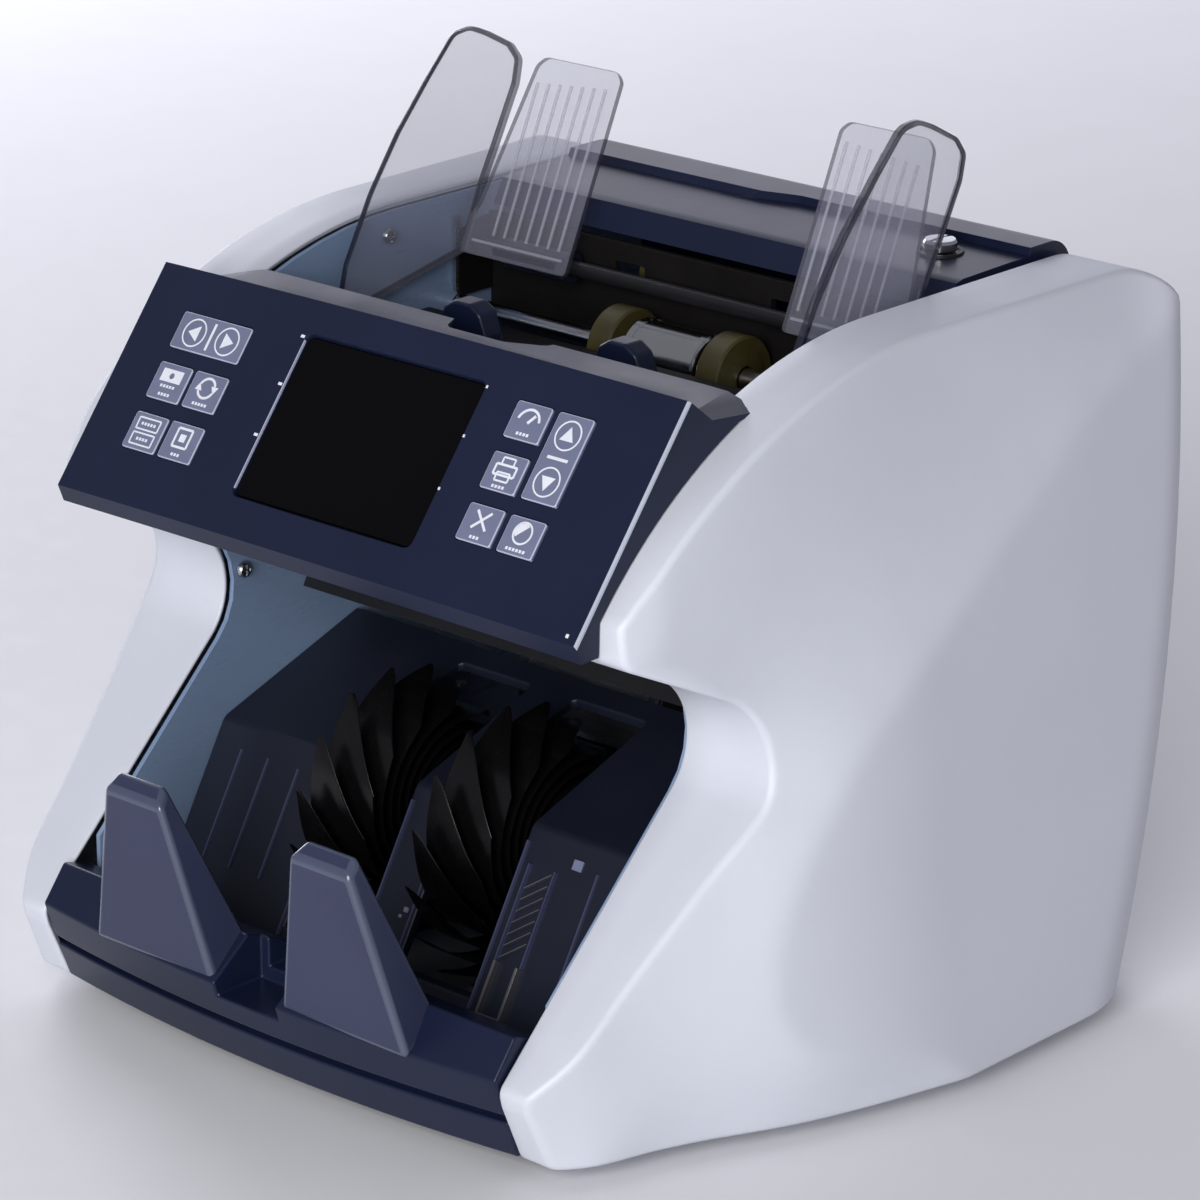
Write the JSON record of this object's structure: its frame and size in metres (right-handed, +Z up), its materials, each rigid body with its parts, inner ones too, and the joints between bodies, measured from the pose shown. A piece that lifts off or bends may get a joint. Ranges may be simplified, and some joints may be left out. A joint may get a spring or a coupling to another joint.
{
  "type": "banknote counting machine",
  "caption": "Desktop banknote counter with a top hopper between two sliding guides, a sloping key and display panel, and a front stacker pocket with finger wheels and stop paddles.",
  "frame": {"origin": "middle of the overall footprint, on the table under the four feet", "axes": "+X to the right of a person facing the control panel, +Y towards the rear of the machine, +Z up"},
  "size_m": [0.307, 0.2808, 0.27],
  "materials": {
    "cover_white": "fine matt moulding, cool off-white",
    "navy_plastic": "satin navy moulding",
    "slate_plastic": "satin slate-blue moulding",
    "screen_black": "gloss black window",
    "black_plastic": "matt black moulding",
    "key_grey": "semi-gloss grey keys",
    "blue_steel": "satin blue-grey painted sheet",
    "steel": "plain turned or sheet steel",
    "chrome": "bright",
    "blacked_steel": "black finish",
    "olive_rubber": "soft olive rubber",
    "brass": "turned",
    "rubber": "black rubber",
    "smoke_clear": "clear smoke-grey plastic",
    "board_green": "circuit board"
  },
  "bodies": {
    "machine": {"left_side_cover": "cover_white", "right_side_cover": "cover_white", "base_front": "navy_plastic", "control_panel_housing": "navy_plastic", "rear_panel": "navy_plastic", "left_stop_paddle": "slate_plastic", "right_stop_paddle": "slate_plastic", "display_window": "screen_black", "hopper_floor": "black_plastic", "hopper_back_wall": "black_plastic", "drum_guide": "black_plastic", "pocket_ceiling": "black_plastic", "image_sensor_bar": "black_plastic", "stacker_tray": "black_plastic", "power_inlet": "black_plastic", "left_side_frame": "blue_steel", "right_side_frame": "blue_steel", "left_hopper_screw": "steel", "right_hopper_screw": "steel", "left_stacker_screw": "steel", "right_stacker_screw": "steel", "left_lid_hinge_pin": "steel", "right_lid_hinge_pin": "steel", "base_plate": "steel", "power_supply": "steel", "display_module": "steel", "drive_motor": "steel", "guide_rod": "blacked_steel", "foot_front_left": "rubber", "foot_front_right": "rubber", "foot_rear_left": "rubber", "foot_rear_right": "rubber", "drive_belt": "rubber", "main_circuit_board": "board_green", "panel_circuit_board": "board_green"},
    "left_guide": {"left_hopper_guide": "smoke_clear"},
    "right_guide": {"right_hopper_guide": "smoke_clear"},
    "lid": {"rear_lid": "navy_plastic"},
    "gap_knob": {"feed_gap_knob": "chrome"},
    "feed_rollers": {"feed_shaft": "chrome", "left_feed_roller": "olive_rubber", "right_feed_roller": "olive_rubber"},
    "drum": {"transport_drum": "rubber", "drum_shaft": "steel", "drum_pulley": "black_plastic"},
    "stacker_wheels": {"stacker_shaft": "steel", "left_stacker_wheel": "rubber", "right_stacker_wheel": "rubber"},
    "motor_rotor": {"motor_pulley": "brass"},
    "switch_rocker": {"power_switch": "black_plastic"},
    "key_previous_next_cap": {"key_previous_next": "key_grey"},
    "key_batch_cap": {"key_batch": "key_grey"},
    "key_currency_cap": {"key_currency": "key_grey"},
    "key_report_cap": {"key_report": "key_grey"},
    "key_mode_cap": {"key_mode": "key_grey"},
    "key_speed_cap": {"key_speed": "key_grey"},
    "key_up_down_cap": {"key_up_down": "key_grey"},
    "key_print_cap": {"key_print": "key_grey"},
    "key_clear_cap": {"key_clear": "key_grey"},
    "key_start_stop_cap": {"key_start_stop": "key_grey"}
  },
  "joints": [
    {"name": "key_previous_next_rock", "type": "hinge", "parent": "machine", "child": "key_previous_next_cap", "pos_m": [-0.0711, -0.07123, 0.19934], "axis": [0, 0.6151, 0.7884], "range_deg": [-2.5, 2.5], "stiffness_Nm_per_rad": 0.4},
    {"name": "key_batch_press", "type": "slide", "parent": "machine", "child": "key_batch_cap", "axis": [0, 0.7884, -0.6151], "range_m": [0, 0.0008], "stiffness_N_per_m": 900},
    {"name": "key_currency_press", "type": "slide", "parent": "machine", "child": "key_currency_cap", "axis": [0, 0.7884, -0.6151], "range_m": [0, 0.0008], "stiffness_N_per_m": 900},
    {"name": "key_report_press", "type": "slide", "parent": "machine", "child": "key_report_cap", "axis": [0, 0.7884, -0.6151], "range_m": [0, 0.0008], "stiffness_N_per_m": 900},
    {"name": "key_mode_press", "type": "slide", "parent": "machine", "child": "key_mode_cap", "axis": [0, 0.7884, -0.6151], "range_m": [0, 0.0008], "stiffness_N_per_m": 900},
    {"name": "key_speed_press", "type": "slide", "parent": "machine", "child": "key_speed_cap", "axis": [0, 0.7884, -0.6151], "range_m": [0, 0.0008], "stiffness_N_per_m": 900},
    {"name": "key_up_down_rock", "type": "hinge", "parent": "machine", "child": "key_up_down_cap", "pos_m": [0.0711, -0.07541, 0.19398], "axis": [1, 0, 0], "range_deg": [-2.5, 2.5], "stiffness_Nm_per_rad": 0.4},
    {"name": "key_print_press", "type": "slide", "parent": "machine", "child": "key_print_cap", "axis": [0, 0.7884, -0.6151], "range_m": [0, 0.0008], "stiffness_N_per_m": 900},
    {"name": "key_clear_press", "type": "slide", "parent": "machine", "child": "key_clear_cap", "axis": [0, 0.7884, -0.6151], "range_m": [0, 0.0008], "stiffness_N_per_m": 900},
    {"name": "key_start_stop_press", "type": "slide", "parent": "machine", "child": "key_start_stop_cap", "axis": [0, 0.7884, -0.6151], "range_m": [0, 0.0008], "stiffness_N_per_m": 900},
    {"name": "left_guide_slide", "type": "slide", "parent": "machine", "child": "left_guide", "axis": [1, 0, 0], "range_m": [0, 0.03]},
    {"name": "right_guide_slide", "type": "slide", "parent": "machine", "child": "right_guide", "axis": [-1, 0, 0], "range_m": [0, 0.03]},
    {"name": "lid_hinge", "type": "hinge", "parent": "machine", "child": "lid", "pos_m": [0, 0.1159, 0.212], "axis": [-1, 0, 0], "range_deg": [0, 80]},
    {"name": "gap_knob_turn", "type": "hinge", "parent": "lid", "child": "gap_knob", "pos_m": [0.068, 0.0919, 0.2194], "axis": [0, 0, 1], "range_deg": [-150, 150]},
    {"name": "drum_spin", "type": "hinge", "parent": "machine", "child": "drum", "pos_m": [0, 0.0239, 0.128], "axis": [1, 0, 0], "continuous": true},
    {"name": "feed_spin", "type": "hinge", "parent": "machine", "child": "feed_rollers", "pos_m": [0, 0.0519, 0.1805], "axis": [1, 0, 0], "continuous": true},
    {"name": "stacker_spin", "type": "hinge", "parent": "machine", "child": "stacker_wheels", "pos_m": [0, -0.0376, 0.054], "axis": [1, 0, 0], "continuous": true},
    {"name": "motor_spin", "type": "hinge", "parent": "machine", "child": "motor_rotor", "pos_m": [0, 0.0879, 0.051], "axis": [1, 0, 0], "continuous": true},
    {"name": "switch_rock", "type": "hinge", "parent": "machine", "child": "switch_rocker", "pos_m": [0.0295, 0.1154, 0.0475], "axis": [1, 0, 0], "range_deg": [0, 14]}
  ],
  "couplings": [
    {"joint": "right_guide_slide", "follows": "left_guide_slide", "ratio": 1},
    {"joint": "feed_spin", "follows": "drum_spin", "ratio": 2},
    {"joint": "stacker_spin", "follows": "drum_spin", "ratio": 0.25},
    {"joint": "motor_spin", "follows": "drum_spin", "ratio": 1.6522}
  ]
}
